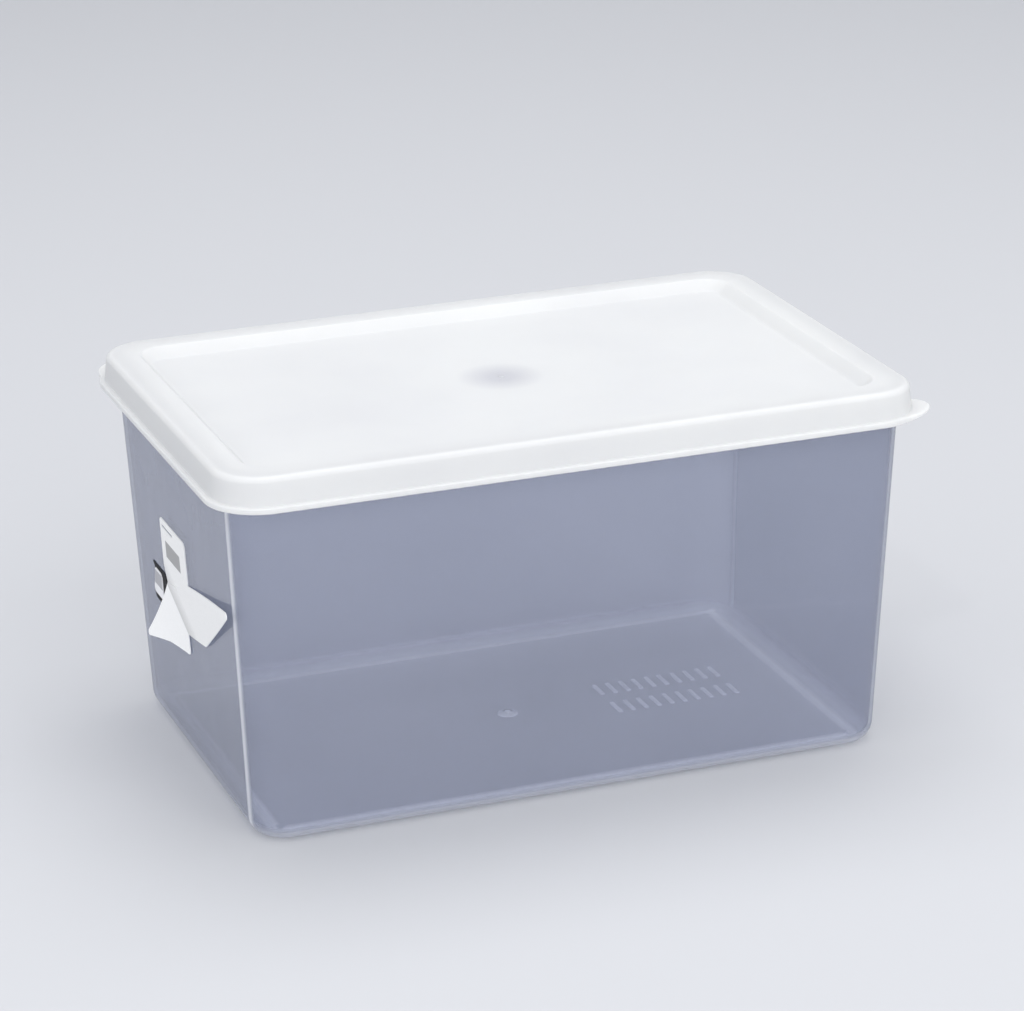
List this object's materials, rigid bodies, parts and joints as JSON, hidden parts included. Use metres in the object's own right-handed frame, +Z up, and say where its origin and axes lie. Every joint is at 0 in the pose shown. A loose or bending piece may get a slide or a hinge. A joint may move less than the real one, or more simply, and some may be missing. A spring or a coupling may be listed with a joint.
{
  "type": "food storage box",
  "caption": "Rectangular clear plastic food storage box with tapered walls, a press-on lid with a sunken top, and a folded paper tag on its end wall.",
  "frame": {"origin": "middle of the footprint, on the plane that the foot ring stands on", "axes": "+X along the length, with the tag on the -X end wall, +Y along the width to the back, +Z up"},
  "size_m": [0.3537, 0.236, 0.184],
  "materials": {
    "clear_plastic": "clear natural moulding, slightly milky",
    "lid_plastic": "soft translucent white moulding",
    "tag_paper": "plain white paper",
    "sticker_black": "printed black",
    "sticker_white": "printed white"
  },
  "bodies": {
    "box": {"container": "clear_plastic", "paper_tag": "tag_paper", "sticker_backing": "sticker_black", "sticker_face": "sticker_white"},
    "lid": {"lid": "lid_plastic"}
  },
  "joints": [
    {"name": "lid_lift", "type": "slide", "parent": "box", "child": "lid", "axis": [0, 0, 1], "range_m": [0, 0.12]}
  ]
}
